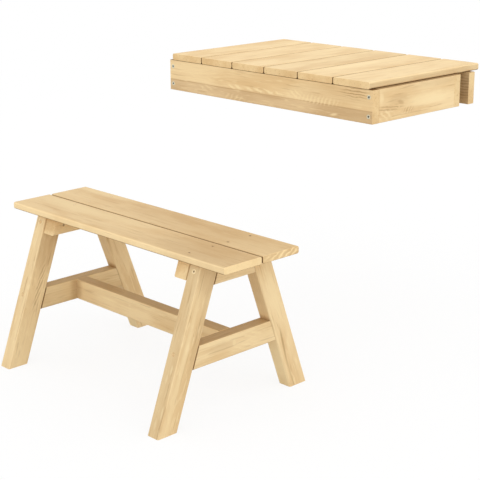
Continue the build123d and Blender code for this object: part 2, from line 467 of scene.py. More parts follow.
@dataclass(frozen=True)
class PineFinish:
    """Planed pine with a clear matt finish. A soft step's pair is where it starts and where it is full."""

    # Colours
    sap_early: Colour = linear(249, 221, 171)
    sap_late: Colour = linear(224, 186, 131)
    heart_early: Colour = linear(231, 201, 155)
    heart_late: Colour = linear(200, 165, 118)
    fleck_and_painted_light: Colour = linear(255, 230, 180)
    pore_and_painted_shade: Colour = linear(176, 136, 88)
    end_shade: Colour = linear(247, 240, 228)
    # The colour of painted shadow: in seams and joints, under things, and on sides that get less light.
    seam_shade: Colour = linear(132, 104, 68)
    # Shine and bumps
    roughness: float = 0.62
    fibre_roughness: float = 0.12
    end_roughness: float = 0.12
    late_smoothness: float = 0.06
    gloss: float = 0.2
    bump_strength: float = 0.35
    bump_height: float = 0.25 * MM
    late_height: float = 0.5
    fibre_height: float = 0.3
    streak_height: float = 0.2
    # Ends, edges and faces
    end_looks: Pair = (0.55, 0.85)
    edge_looks: Pair = (0.75, 0.92)
    face_looks: Pair = (0.5, 0.9)
    end_depth: float = 0.5
    edge_wear_and_highlight: float = 0.25
    # Growth rings
    sway: Grain = Grain(2.4, 7.0, 0.0)
    stray: Grain = Grain(2.4, 7.0, 31.7)
    sway_gain: float = 4.0
    ring_profile: tuple[Pair, ...] = ((0.0, 0.0), (0.45, 0.08), (0.82, 0.7), (0.93, 1.0), (1.0, 0.0))
    years_across: float = 55.0
    years_along: float = 0.8
    years_detail: float = 1.0
    years_spread: float = 3.0
    faintest_year: float = 0.4
    late_share: float = 0.34
    late_lost_on_ends: float = 0.5
    # Heartwood
    heart_fade: Pair = (-1.0 * MM, 2.0 * MM)
    heart_lost_on_ends: float = 0.8
    heart_line: float = 1.2 * MM
    heart_line_breaks: Pair = (0.3, 0.55)
    heart_line_depth: float = 0.5
    # Streaks and flecks
    streak: Grain = Grain(5.0, 90.0, 0.0, 0.45, 0.75, 0.42, 3.0)
    cloud: Grain = Grain(5.5, 19.0, 17.0, 0.4, 0.68, 0.55)
    fibre: Grain = Grain(18.0, 640.0, 5.0, 0.58, 0.78, 0.16)
    dash: Grain = Grain(30.0, 230.0, 9.1, 0.6, 0.72, 1.6, 1.0)
    line: Grain = Grain(16.0, 260.0, -4.3, 0.6, 0.74, 1.3, 1.0)
    blotch: Grain = Grain(55.0, 130.0, 2.7, 0.55, 0.7, 1.0, 1.0)
    # Marks
    ragged: Grain = Grain(55.0, 140.0, 90.0)
    ragged_blot: float = 0.8
    ragged_patch: float = 0.9
    ragged_stroke: float = 1.1
    stroke_width: float = 0.24
    stroke_breaks: Pair = (0.25, 0.42)
    # Shadow
    shade_full: float = 0.95
    edge_shade_full: float = 0.6
    edge_shade_end: Pair = (0.94, 0.99)

    def material(self, cut: Cut, lie: Lie, joint: Optional[Joint] = None) -> Material:
        """Makes the pine of one timber.

        Args:
            cut: How it was sawn.
            lie: Where it lies.
            joint: The lines at its ends, if it is a bar between legs.

        Returns:
            The material.
        """
        made, tree = new_material(cut.node)
        spot = self.spot(tree, lie)
        radius = self.distance_from_heart(spot, cut)
        late = self.latewood(spot, cut, radius)
        streak, fibre = spot.noise(self.streak, cut.seed), spot.noise(self.fibre, cut.seed)
        colour = self.grown(spot, cut, radius, late, streak, fibre)
        colour = self.flecked(spot, cut, colour)
        for mark in cut.marks:
            colour = self.marked(spot, mark, colour)
        # Paler rounded edges: partly wear, partly painted highlight.
        colour = tree.mix(spot.edge * self.edge_wear_and_highlight, colour, self.fleck_and_painted_light)
        colour = tree.mix(spot.end * self.end_depth, colour, self.end_shade, "MULTIPLY")
        colour = tree.scale(colour, cut.tone)
        colour = self.shaded(spot, cut, joint, colour)
        height = late * self.late_height + fibre * self.fibre_height + streak * self.streak_height
        bump = {"Strength": self.bump_strength, "Distance": self.bump_height, "Height": height}
        rough = fibre.centred() * self.fibre_roughness - late * self.late_smoothness
        sockets = {
            "Base Color": colour,
            "Roughness": rough + spot.end * self.end_roughness + self.roughness,
            "Normal": tree.node("ShaderNodeBump", None, bump).outputs["Normal"],
            "Specular IOR Level": self.gloss,
        }
        tree.surface(sockets)
        return made

    def spot(self, tree: Tree, lie: Lie) -> Spot:
        """Reads where a place lies in its timber.

        Args:
            tree: The material's nodes.
            lie: Where the timber lies.

        Returns:
            The place, with its face, and how far it is on an end or a rounded edge.
        """
        normal, turn = tree.coordinates("Normal"), lie.turn().to_euler("XYZ")
        turned = {"Vector": tree.coordinates("Object"), "Location": lie.middle, "Rotation": turn}
        placed = tree.node("ShaderNodeMapping", {"vector_type": "TEXTURE"}, turned)
        along, across, deep = (abs(tree.dot(normal, way)) for way in (lie.along, lie.across, lie.deep()))
        end = along.rise(*self.end_looks)
        edge = 1 - along.larger(across).larger(deep).rise(*self.edge_looks)
        return Spot(tree, *tree.separate(placed.outputs["Vector"]), normal, end, edge)

    def distance_from_heart(self, spot: Spot, cut: Cut) -> Field:
        """How far a place is from the heart of the log, which wanders.

        Args:
            spot: The place.
            cut: How the timber was sawn.

        Returns:
            The distance, in metres.
        """
        sway, stray = spot.noise(self.sway, cut.seed), spot.noise(self.stray, -cut.seed)
        swing = self.sway_gain * cut.sway
        across = spot.across - cut.heart_across + spot.along * cut.lean_across + sway.centred() * swing
        deep = spot.deep - cut.heart_deep + spot.along * cut.lean_deep + stray.centred() * swing
        return (across * across + deep * deep).root()

    def latewood(self, spot: Spot, cut: Cut, radius: Field) -> Field:
        """How much of a place is dark latewood, year by year.

        Args:
            spot: The place.
            cut: How the timber was sawn.
            radius: Its distance from the heart.

        Returns:
            The share of latewood, from 0 to 1.
        """
        tree = spot.tree
        place = tree.combine(radius * self.years_across, cut.seed, spot.along * self.years_along)
        uneven = tree.noise(place, detail=self.years_detail)
        count = radius / cut.ring + uneven.centred() * self.years_spread
        ramp = {"stops": self.ring_profile}
        late = tree.value("ShaderNodeValToRGB", ramp, {"Fac": count.fraction()}, "Color")
        year = {"W": count.floor() + cut.seed}
        strength = tree.value("ShaderNodeTexWhiteNoise", {"noise_dimensions": "1D"}, year, "Value")
        return late * (strength * (1 - self.faintest_year) + self.faintest_year)

    def grown(self, spot: Spot, cut: Cut, radius: Field, late: Field, streak: Field, fibre: Field) -> Socket:
        """Colours the wood as it grew.

        Args:
            spot: The place.
            cut: How the timber was sawn.
            radius: Its distance from the heart.
            late: Its share of latewood.
            streak, fibre: The noise of its streaks and fibres.

        Returns:
            The colour of its rings, streaks and fibres.
        """
        tree = spot.tree
        early_colour, late_colour = self.sap_early, self.sap_late
        if cut.heartwood:
            outside = radius.rise(*(cut.heartwood + reach for reach in self.heart_fade))
            heart = (1 - outside) * (1 - spot.end * self.heart_lost_on_ends)
            early_colour = tree.mix(heart, self.sap_early, self.heart_early)
            late_colour = tree.mix(heart, self.sap_late, self.heart_late)
        share = late * (self.late_share * cut.figure) * (1 - spot.end * self.late_lost_on_ends)
        colour = tree.mix(share, early_colour, late_colour)
        colour = tree.mix(self.streak.shown(streak) * cut.figure, colour, late_colour)
        colour = tree.mix(self.cloud.shown(spot.noise(self.cloud, cut.seed)), colour, late_colour)
        colour = tree.mix(self.fibre.shown(fibre), colour, self.pore_and_painted_shade)
        if cut.heartwood:
            line = ((radius - cut.heartwood) / self.heart_line).bell()
            line = line * streak.rise(*self.heart_line_breaks) * (1 - spot.end)
            colour = tree.mix(line * self.heart_line_depth, colour, self.pore_and_painted_shade)
        return colour

    def flecked(self, spot: Spot, cut: Cut, colour: Socket) -> Socket:
        """Adds short dashes along the grain, pale and dark, and pale blotches.

        Args:
            spot: The place.
            cut: How the timber was sawn.
            colour: The wood without them.

        Returns:
            The wood with them.
        """
        dashes = (self.dash, cut.flecks, self.fleck_and_painted_light), (self.line, cut.flecks, self.pore_and_painted_shade)
        for grain, share, tint in (*dashes, (self.blotch, cut.mottle, self.fleck_and_painted_light)):
            if share:
                colour = spot.tree.mix(grain.shown(spot.noise(grain, cut.seed)) * share, colour, tint)
        return colour

    def marked(self, spot: Spot, mark: Mark, colour: Socket) -> Socket:
        """Adds one patch: figure in the grain, painted shade or painted light.

        Args:
            spot: The place.
            mark: The patch.
            colour: The wood without it.

        Returns:
            The wood with it.
        """
        tree, ragged = spot.tree, self.ragged
        along, beside, share = {
            Plane.ACROSS: (spot.along, spot.across, 1 - spot.end),
            Plane.DEEP: (spot.along, spot.deep, 1 - spot.end),
            Plane.END: (spot.across, spot.deep, spot.end),
        }[mark.plane]
        if mark.facing:
            share = share * spot.looks(mark.facing).rise(*self.face_looks)
        u, v = along - mark.along, beside - mark.beside
        cosine, sine = math.cos(mark.turn), math.sin(mark.turn)
        place = tree.combine(along * ragged.along, beside * ragged.beside, mark.along * ragged.shift)
        rough = tree.noise(place, detail=ragged.detail)
        swing = rough.centred()
        if mark.pitch:
            patch = (u * u / mark.length**2 + v * v / mark.height**2 + swing * self.ragged_patch).bell()
            count = (u * sine - v * cosine) / mark.pitch + swing * self.ragged_stroke
            strokes = (count.fraction().centred() / self.stroke_width).bell()
            patch = patch * strokes * rough.rise(*self.stroke_breaks)
        else:
            long, short = (u * cosine + v * sine) / mark.length, (v * cosine - u * sine) / mark.height
            patch = (long * long + short * short + swing * self.ragged_blot).bell()
        tint = self.fleck_and_painted_light if mark.tint is Tint.PALE else self.pore_and_painted_shade
        return tree.mix(patch * share * mark.strength, colour, tint)

    def shaded(self, spot: Spot, cut: Cut, joint: Optional[Joint], colour: Socket) -> Socket:
        """Adds painted shadow: what neighbours cast into seams and joints, and shade on sides that get less
        light.

        Args:
            spot: The place.
            cut: How the timber was sawn.
            joint: The lines at its ends, if it is a bar between legs.
            colour: The wood without it.

        Returns:
            The wood with it.
        """
        tree = spot.tree
        for shade in cut.shades:
            looks = spot.looks(shade.facing)
            if shade.edge_only:
                share = looks.rise(shade.start, self.edge_shade_full) * (1 - looks.rise(*self.edge_shade_end))
            else:
                share = looks.rise(shade.start, self.shade_full)
            colour = tree.mix(share * shade.depth, colour, self.seam_shade, "MULTIPLY")
        if joint:
            reach = (abs(spot.along) + spot.across * joint.slope - joint.half).rise(-joint.width, 0.0)
            depth = spot.along.rise(-joint.change, joint.change) * (joint.back - joint.front) + joint.front
            colour = tree.mix(reach * depth, colour, self.seam_shade, "MULTIPLY")
        return colour


@dataclass(frozen=True)
class BeechFinish:
    """Raw beech with short dark rays."""

    wood: Colour = linear(216, 180, 138)
    ray: Colour = linear(176, 132, 92)
    rays: Grain = Grain(70.0, 520.0, 0.0, 0.56, 0.7)
    roughness: float = 0.6
    ray_roughness: float = 0.2

    def material(self, name: str) -> Material:
        """Makes the beech of dowels that lie along X.

        Args:
            name: The material's name.

        Returns:
            The material.
        """
        made, tree = new_material(name)
        x, y, z = tree.separate(tree.coordinates("Object"))
        rays = tree.noise(tree.combine(x * self.rays.along, y * self.rays.beside, z * self.rays.beside))
        colour = tree.mix(self.rays.shown(rays), self.wood, self.ray)
        tree.surface({"Base Color": colour, "Roughness": rays * self.ray_roughness + self.roughness})
        return made


@dataclass(frozen=True)
class ZincFinish:
    """Zinc plate on screw heads, and in their recesses zinc coloured as painted shade, and on faint screws as
    painted light.
    """

    name: str
    plate: Colour
    dull: Colour
    recess_light_and_shade: Colour
    cloud_scale: float = 420.0
    cloud_detail: float = 3.0
    cloud_shows: Pair = (0.35, 0.7)
    cloud_roughness: float = 0.2
    roughness: float = 0.28

    def materials(self) -> list[Material]:
        """Makes the zinc of the heads and the zinc inside their recesses, coloured as painted shade, and as
        painted light on faint screws.
        """
        head = self._zinc(self.name, self.plate, dulled=1.0, metal=1.0)
        return [head, self._zinc(f"{self.name}_recess", self.recess_light_and_shade, dulled=0.3, metal=0.6)]

    def _zinc(self, name: str, colour: Colour, dulled: float, metal: float) -> Material:
        """Makes clouded zinc.

        Args:
            name: The material's name.
            colour: The zinc's colour.
            dulled: How much of it may turn dull.
            metal: How much of a metal it looks.

        Returns:
            The material.
        """
        made, tree = new_material(name)
        cloud = tree.noise(tree.coordinates("Object"), self.cloud_scale, self.cloud_detail)
        shown = tree.mix(cloud.rise(*self.cloud_shows) * dulled, colour, self.dull)
        rough = cloud * self.cloud_roughness + self.roughness
        tree.surface({"Base Color": shown, "Metallic": metal, "Roughness": rough})
        return made


class SubAssembly(ABC):
    """Pieces of the set that are built and dressed together."""

    @abstractmethod
    def build(self) -> Iterator[str]:
        """Builds and dresses the pieces, and names each when it is done."""


def straight_lie(node: str, run: Run, across: Run) -> Lie:
    """Where a straight timber lies, from its box.

    Args:
        node: The timber's node.
        run: The way its grain runs.
        across: The way its width runs.

    Returns:
        Its middle and axes.
    """
    low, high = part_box(node)
    axes = Matrix.Identity(3)
    return Lie((low + high) / 2, axes[run.value].copy(), axes[across.value].copy())


@dataclass
class Timbers(SubAssembly):
    """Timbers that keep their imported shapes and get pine."""

    finish: PineFinish = PineFinish()

    def dress(self, cut: Cut, lie: Lie, joint: Optional[Joint] = None) -> str:
        """Gives a timber its pine.

        Args:
            cut: How it was sawn.
            lie: Where it lies.
            joint: The lines at its ends, if it is a bar between legs.

        Returns:
            The timber's node.
        """
        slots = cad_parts[cut.node].data.materials
        slots.clear()
        slots.append(self.finish.material(cut, lie, joint))
        return cut.node

    def dress_straight(self, cuts: Sequence[Cut], run: Run, across: Run) -> Iterator[str]:
        """Gives straight timbers their pine.

        Args:
            cuts: How they were sawn.
            run: The way their grain runs.
            across: The way their width runs.

        Returns:
            The timbers' nodes, each when it is done.
        """
        for cut in cuts:
            yield self.dress(cut, straight_lie(cut.node, run, across))


# Painted shadow: below the boards' rounded lower edges, on rail tops under the boards, and in the gaps at the
# left and right.
SHADOW_BELOW_EDGE = Shade(Facing.DOWN, 0.8, edge_only=True)
SHADOW_ON_RAIL_TOPS = Shade(Facing.UP, 0.7, 0.2)
SEAM_SHADOW_ON_LEFT = Shade(Facing.LEFT)
SEAM_SHADOW_ON_RIGHT = Shade(Facing.RIGHT)
SEAM_SHADOWS_ON_BOTH = (SEAM_SHADOW_ON_LEFT, SEAM_SHADOW_ON_RIGHT, SHADOW_BELOW_EDGE)


@dataclass
class TableTop(Timbers):
    """The table's boards, front to back over the frame."""

    cuts: tuple[Cut, ...] = (
        Cut(
            "table_board_1", 0.02, -0.07, 0.02, 0.03, figure=0.6, tone=1.015, seed=1.3,
            shades=(SEAM_SHADOW_ON_RIGHT, SHADOW_BELOW_EDGE),
        ),
        Cut("table_board_2", -0.03, -0.09, -0.02, 0.02, figure=0.6, tone=1.02, seed=5.9, shades=SEAM_SHADOWS_ON_BOTH),
        Cut("table_board_3", 0.06, -0.05, 0.03, 0.0, figure=0.6, tone=1.01, seed=9.4, shades=SEAM_SHADOWS_ON_BOTH),
        Cut("table_board_4", -0.01, -0.12, 0.0, 0.04, figure=0.6, tone=0.985, seed=14.2, shades=SEAM_SHADOWS_ON_BOTH),
        Cut(
            "table_board_5", -0.08, -0.04, 0.02, -0.02, figure=0.6, tone=1.02, seed=20.8, shades=SEAM_SHADOWS_ON_BOTH,
            marks=(Mark(-0.05, -0.022, 0.14, 0.016, 0.6),),
        ),
        Cut(
            "table_board_6", 0.03, -0.1, -0.03, 0.03, figure=0.6, tone=1.015, seed=27.1,
            # Painted shadow in the gap and below the edge, and painted shade on the right side face.
            shades=(SEAM_SHADOW_ON_LEFT, SHADOW_BELOW_EDGE, Shade(Facing.RIGHT, 0.14, 0.6)),
        ),
    )

    def build(self) -> Iterator[str]:
        """Gives each board its pine."""
        yield from self.dress_straight(self.cuts, Run.ALONG_Y, Run.ALONG_X)


@dataclass
class TableFrame(Timbers):
    """The rails under the boards, the hook rail and the cleats."""

    long_rails: tuple[Cut, ...] = (
        Cut(
            "front_rail", -0.0645, 0.028, sway=1.5 * MM, heartwood=0.058, tone=1.03, seed=3.7, figure=0.8,
            # Painted shadow on the top, under the boards.
            shades=(Shade(Facing.UP, start=0.2),),
            marks=(
                Mark(-0.086, -0.004, 0.026, 0.005, 1.0, pitch=0.013, turn=-0.6),
                Mark(0.0, -0.003, 0.075, 0.0045, 1.0, pitch=0.013, turn=-0.45),
                Mark(0.092, 0.003, 0.022, 0.008, 0.9, pitch=0.009, turn=-0.6),
                Mark(0.15, -0.002, 0.058, 0.009, 0.85, pitch=0.0095, turn=1.2),
                Mark(0.252, 0.024, 0.034, 0.013, 0.8, Tint.DARK, pitch=0.0055),
                Mark(0.197, -0.0265, 0.01, 0.0026, 0.7, turn=0.2),
                Mark(-0.176, -0.017, 0.022, 0.007, 0.5, pitch=0.012, turn=-0.45),
                Mark(-0.09, -0.027, 0.035, 0.007, 0.4, pitch=0.012, turn=1.0),
                Mark(-0.17, 0.012, 0.08, 0.01, 0.3, pitch=0.008, turn=0.12),
                Mark(0.18, 0.014, 0.1, 0.02, 0.16, Tint.DARK),
            ),
        ),
        Cut(
            "back_rail", 0.03, -0.06, 0.02, 0.02, heartwood=0.05, seed=33.0,
            # Painted shadow on the back face in the slot, and on the top under the boards.
            shades=(Shade(Facing.BACK, 0.4), SHADOW_ON_RAIL_TOPS),
        ),
        Cut(
            "hook_rail", -0.02, 0.05, 0.01, -0.02, seed=41.5,
            # Painted shadow on the front face in the slot, and on the top under the boards.
            shades=(Shade(Facing.FRONT, 0.45), SHADOW_ON_RAIL_TOPS),
            marks=(Mark(0.27, 0.0, 0.06, 0.03, 0.6, Tint.DARK, pitch=0.006),),
        ),
        Cut("front_cleat", 0.04, 0.05, seed=47.3),
        Cut("back_cleat", -0.05, 0.03, seed=52.9),
    )
    end_rails: tuple[Cut, ...] = (
        Cut(
            "right_end_rail", 0.01, -0.06, 0.02, 0.02, tone=1.04, seed=58.1, shades=(SHADOW_ON_RAIL_TOPS,),
            marks=(
                Mark(0.032, -0.004, 0.065, 0.013, 0.75),
                Mark(0.05, 0.027, 0.09, 0.008, 0.18, Tint.DARK),
                Mark(-0.09, -0.008, 0.042, 0.007, 0.6, Tint.DARK, pitch=0.006, turn=-0.1),
                Mark(-0.055, 0.0, 0.01, 0.004, 0.35, Tint.DARK, turn=-0.3),
                Mark(-0.06, 0.008, 0.03, 0.01, 0.25, Tint.DARK),
                Mark(-0.1, -0.02, 0.024, 0.011, 0.6, pitch=0.011, turn=-0.7),
                Mark(-0.03, -0.018, 0.018, 0.006, 0.5, Tint.DARK, pitch=0.007, turn=1.0),
                Mark(-0.115, 0.014, 0.007, 0.01, 0.5),
            ),
        ),
        Cut("left_end_rail", -0.02, 0.06, 0.03, 0.05, seed=63.6, shades=(SHADOW_ON_RAIL_TOPS,)),
    )

    def build(self) -> Iterator[str]:
        """Gives each rail and cleat its pine."""
        yield from self.dress_straight(self.long_rails, Run.ALONG_X, Run.ALONG_Z)
        yield from self.dress_straight(self.end_rails, Run.ALONG_Y, Run.ALONG_Z)


@dataclass
class Seat(Timbers):
    """The bench's two boards."""

    cuts: tuple[Cut, ...] = (
        Cut(
            "seat_board_front", 0.02, -0.08, 0.015, 0.02, figure=0.45, tone=1.07, seed=70.2,
            # Painted shadow in the gap and below the edges, and painted shade on the top, which gets less
            # light than the edges.
            shades=(Shade(Facing.BACK, 0.9, 0.5), SHADOW_BELOW_EDGE, Shade(Facing.UP, 0.25, 0.5)),
            marks=(
                Mark(-0.17, 0.018, 0.18, 0.022, 0.7),
                # Painted shade darkens the right end and its top; painted light brightens the front face.
                Mark(0.24, 0.0, 0.16, 0.06, 0.28, Tint.DARK),
                Mark(0.14, -0.035, 0.24, 0.03, 0.1, Tint.DARK, facing=Facing.UP),
                Mark(0.12, 0.0, 0.3, 0.06, 0.4, facing=Facing.FRONT),
                Mark(0.0, 0.0, 0.06, 0.02, 0.6, plane=Plane.END),
            ),
        ),
        Cut(
            "seat_board_back", -0.035, -0.06, -0.01, 0.02, figure=0.45, tone=1.08, seed=77.7,
            # Painted shadow in the gap and below the edges, and painted shade on the top, which gets less
            # light than the edges.
            shades=(Shade(Facing.FRONT, 0.9, 0.5), SHADOW_BELOW_EDGE, Shade(Facing.UP, 0.25, 0.5)),
            marks=(
                Mark(-0.24, 0.036, 0.1, 0.016, 0.8),
                # Painted shade darkens the right end.
                Mark(0.12, 0.0, 0.25, 0.06, 0.22, Tint.DARK),
                Mark(0.0, 0.0, 0.1, 0.03, 0.34, Tint.DARK, plane=Plane.END),
                Mark(0.01, 0.0, 0.05, 0.009, 1.0, pitch=0.011, turn=0.6, plane=Plane.END),
            ),
        ),
    )

    def build(self) -> Iterator[str]:
        """Gives each board its pine."""
        yield from self.dress_straight(self.cuts, Run.ALONG_X, Run.ALONG_Y)


@dataclass
class BenchFrame(Timbers):
    """The legs, the rails and battens between them, and the stretcher."""

    splay: float = math.radians(20)
    legs: tuple[Cut, ...] = (
        Cut(
            "front_left_leg", 0.03, 0.05, 0.02, 0.02, tone=0.95, figure=0.7, seed=81.4,
            flecks=0.3, mottle=0.4,
            marks=(
                Mark(0.012, 0.003, 0.055, 0.007, 0.6, Tint.DARK, pitch=0.006, turn=0.22),
                # Painted shadow of the seat at the top of the side, painted light near the foot, and a painted
                # shadow line beside the batten's end.
                Mark(0.095, 0.0, 0.055, 0.05, 0.3, Tint.DARK, facing=Facing.RIGHT),
                Mark(-0.125, 0.0, 0.05, 0.04, 0.25, facing=Facing.RIGHT),
                Mark(0.146, -0.0205, 0.018, 0.002, 0.5, Tint.DARK, facing=Facing.RIGHT),
            ),
        ),
        Cut(
            "back_left_leg", -0.04, 0.05, 0.02, 0.0, tone=0.965, figure=0.35, seed=88.8, mottle=0.2,
            marks=(
                # Painted shadow of the seat at the top of the front and side, a painted shadow line along the
                # side's front edge, painted shade where the lower rail meets the front, and painted light near
                # the foot.
                Mark(0.075, 0.0, 0.06, 0.05, 0.18, Tint.DARK, facing=Facing.FRONT),
                Mark(0.075, 0.0, 0.08, 0.05, 0.16, Tint.DARK, facing=Facing.RIGHT),
                Mark(0.12, -0.018, 0.06, 0.0035, 0.6, Tint.DARK, facing=Facing.RIGHT),
                Mark(0.006, 0.0, 0.013, 0.05, 0.95, Tint.DARK, facing=Facing.FRONT),
                Mark(-0.155, 0.0, 0.04, 0.05, 1.0, facing=Facing.FRONT),
            ),
        ),
        Cut(
            "front_right_leg", -0.04, -0.05, 0.02, 0.01, tone=0.98, figure=0.7, seed=93.1,
            # Painted shade on the front face, which gets less light than the side.
            flecks=0.3, mottle=0.3, shades=(Shade(Facing.FRONT, 0.2, 0.5),),
            marks=(
                Mark(-0.042, -0.005, 0.01, 0.0026, 1.0, plane=Plane.DEEP),
                Mark(-0.061, 0.0015, 0.008, 0.0026, 0.9, plane=Plane.DEEP),
                Mark(-0.122, -0.008, 0.013, 0.0022, 1.0, plane=Plane.DEEP),
                Mark(-0.146, 0.002, 0.011, 0.0026, 0.8, plane=Plane.DEEP),
                Mark(-0.03, -0.0065, 0.15, 0.006, 0.5, facing=Facing.RIGHT),
                # Painted shadow of the seat at the top of the side.
                Mark(0.14, 0.006, 0.04, 0.03, 0.26, Tint.DARK, facing=Facing.RIGHT),
                Mark(0.03, 0.014, 0.1, 0.008, 0.2, Tint.DARK, facing=Facing.RIGHT),
                # A painted shadow line beside the batten's end.
                Mark(0.146, 0.0145, 0.02, 0.0023, 1.0, Tint.DARK, plane=Plane.DEEP),
            ),
        ),
        Cut(
            "back_right_leg", 0.04, 0.06, -0.01, 0.0, figure=0.7, seed=97.6, flecks=0.3, mottle=0.2,
            marks=(
                Mark(-0.055, -0.008, 0.036, 0.0025, 0.6, Tint.DARK, turn=0.078),
                Mark(-0.115, -0.011, 0.05, 0.0022, 0.25, Tint.DARK),
                Mark(0.06, 0.002, 0.06, 0.016, 0.7),
                # Painted shadow of the seat at the top of the front, painted shade where the lower rail meets
                # it, and painted light near the foot.
                Mark(0.08, 0.0, 0.06, 0.05, 0.3, Tint.DARK, facing=Facing.FRONT),
                Mark(0.006, 0.0, 0.013, 0.05, 0.7, Tint.DARK, facing=Facing.FRONT),
                Mark(-0.1, 0.0, 0.07, 0.05, 0.9, facing=Facing.FRONT),
            ),
        ),
    )
    cross_bars: tuple[Cut, ...] = (
        Cut("left_top_rail", 0.03, 0.03, seed=102.3),
        Cut("right_top_rail", 0.02, -0.04, seed=107.9),
        Cut(
            "left_lower_rail", -0.03, 0.04, 0.02, tone=0.88, figure=0.7, seed=113.2,
            # Painted shadow of the seat on the top, and painted shade in the corner where the stretcher meets
            # the inner face.
            shades=(Shade(Facing.UP, 0.36, 0.6),),
            marks=(Mark(-0.018, 0.0, 0.014, 0.05, 0.35, Tint.DARK, facing=Facing.RIGHT),),
        ),
        Cut(
            "right_lower_rail", 0.01, -0.06, 0.03, 0.03, tone=0.98, figure=0.8, seed=118.4,
            # Painted shadow of the seat on the top.
            shades=(Shade(Facing.UP, 0.53, 0.6),),
            marks=(
                Mark(0.045, 0.008, 0.03, 0.008, 0.6, pitch=0.009, turn=-0.4),
                Mark(-0.004, 0.004, 0.004, 0.006, 0.7),
                Mark(-0.036, 0.0155, 0.06, 0.004, 0.5),
                Mark(-0.04, 0.005, 0.035, 0.009, 0.2, Tint.DARK),
                Mark(0.02, -0.009, 0.035, 0.006, 0.6, pitch=0.008, turn=-0.35),
            ),
        ),
    )
    battens: tuple[Cut, ...] = (
        Cut(
            # Painted shadow on the side against the leg, and a painted shadow line on the end beside the leg;
            # the end is also darker all over.
            "left_batten", 0.04, 0.02, seed=124.6, shades=(SEAM_SHADOW_ON_LEFT,),
            marks=(
                Mark(0.0, -0.017, 0.05, 0.0022, 0.6, Tint.DARK, plane=Plane.END),
                Mark(0.012, 0.0, 0.026, 0.06, 0.22, Tint.DARK, plane=Plane.END),
            ),
        ),
        Cut(
            # Painted shadow on the side against the leg, and a painted shadow line on the end beside the leg.
            "right_batten", 0.02, 0.04, seed=131.1, shades=(SEAM_SHADOW_ON_RIGHT,),
            marks=(Mark(0.0, 0.017, 0.05, 0.0034, 1.0, Tint.DARK, plane=Plane.END),),
        ),
    )
    stretcher: Cut = Cut(
        "stretcher", 0.0, 0.06, 0.02, 0.02, tone=0.95, figure=0.8, seed=137.5,
        # Painted shadow of the seat on the top.
        shades=(Shade(Facing.UP, 0.46, 0.6),),
        marks=(
            Mark(-0.112, 0.003, 0.026, 0.0025, 0.6),
            Mark(-0.044, 0.004, 0.005, 0.009, 0.4, pitch=0.006, turn=0.3),
            # Painted shade in the corner with the left lower rail.
            Mark(-0.224, 0.0, 0.02, 0.05, 0.5, Tint.DARK, facing=Facing.FRONT),
        ),
    )

    def build(self) -> Iterator[str]:
        """Gives each timber its pine."""
        for cut in self.legs:
            yield self.dress(cut, self.leg_lie(cut.node))
        for cut in self.cross_bars:
            lie = straight_lie(cut.node, Run.ALONG_Y, Run.ALONG_Z)
            yield self.dress(cut, lie, self.joint_of(cut.node))
        yield from self.dress_straight(self.battens, Run.ALONG_Y, Run.ALONG_Z)
        yield from self.dress_straight((self.stretcher,), Run.ALONG_X, Run.ALONG_Z)

    def leg_lie(self, node: str) -> Lie:
        """Where a splayed leg lies.

        Args:
            node: The leg's node.

        Returns:
            Its middle and its leaning axes.
        """
        low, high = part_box(node)
        side = 1 if node.startswith("back") else -1
        up = Vector((0, -side * math.sin(self.splay), math.cos(self.splay)))
        out = Vector((0, math.cos(self.splay), side * math.sin(self.splay)))
        return Lie((low + high) / 2, up, out)

    def joint_of(self, node: str) -> Joint:
        """Where the ends of a bar meet the legs, at half its height."""
        low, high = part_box(node)
        slope = math.tan(self.splay)
        return Joint((high.y - low.y - slope * (high.z - low.z)) / 2, slope)


def islands(node: str) -> list[list[Vector]]:
    """Finds the separate solids of a packed group.

    Args:
        node: The group's node.

    Returns:
        The vertices of each solid.
    """
    shape = bmesh.new()
    shape.from_mesh(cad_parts[node].data)
    bmesh.ops.remove_doubles(shape, verts=shape.verts, dist=SAME_PLACE)
    left = set(shape.verts)
    found = []
    while left:
        island, edge = set(), [left.pop()]
        while edge:
            vertex = edge.pop()
            island.add(vertex)
            near = {e.other_vert(vertex) for e in vertex.link_edges} & left
            left -= near
            edge.extend(near)
        found.append([v.co.copy() for v in island])
    shape.free()
    return found


def add_mesh(name: str, shape: Shape, materials: Sequence[Material]) -> bpy.types.Object:
    """Adds a mesh to the scene.

    Args:
        name: Its name.
        shape: Its shape, which is freed.
        materials: Its finishes.

    Returns:
        The mesh's object.
    """
    mesh = bpy.data.meshes.new(name)
    shape.to_mesh(mesh)
    shape.free()
    for material in materials:
        mesh.materials.append(material)
    made = bpy.data.objects.new(name, mesh)
    bpy.context.scene.collection.objects.link(made)
    return made


def add_group(shape: Shape, node: str, body: Body, slot: Slot, materials: Sequence[Material]) -> str:
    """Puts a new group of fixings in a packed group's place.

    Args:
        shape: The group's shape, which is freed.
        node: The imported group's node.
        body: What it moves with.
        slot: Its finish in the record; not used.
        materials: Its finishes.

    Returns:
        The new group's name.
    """
    bmesh.ops.recalc_face_normals(shape, faces=shape.faces)
    group = add_mesh(f"{node}_made", shape, materials)
    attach(group, body.value)
    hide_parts(node)
    return group.name


@dataclass(frozen=True)
class ScrewPlace:
    """Where a screw sits: the middle of its head, the way it looks, and its size."""

    head: Vector
    outward: Vector
    radius: float
    length: float

    @classmethod
    def of(cls, points: list[Vector], slack: float = 0.01 * MM) -> "ScrewPlace":
        """Works out a screw's place: its tip is far from the rest, and its head's rim farthest from the tip.

        Args:
            points: The screw's vertices.
            slack: How much nearer to the tip a vertex of the rim may be than the farthest.

        Returns:
            The place.
        """
        middle = sum(points, Vector()) / len(points)
        tip = max(points, key=lambda p: (p - middle).length)
        reach = max((p - tip).length for p in points)
        rim = [p for p in points if (p - tip).length > reach - slack]
        head = sum(rim, Vector()) / len(rim)
        return cls(head, (head - tip).normalized(), (rim[0] - head).length, (head - tip).length)


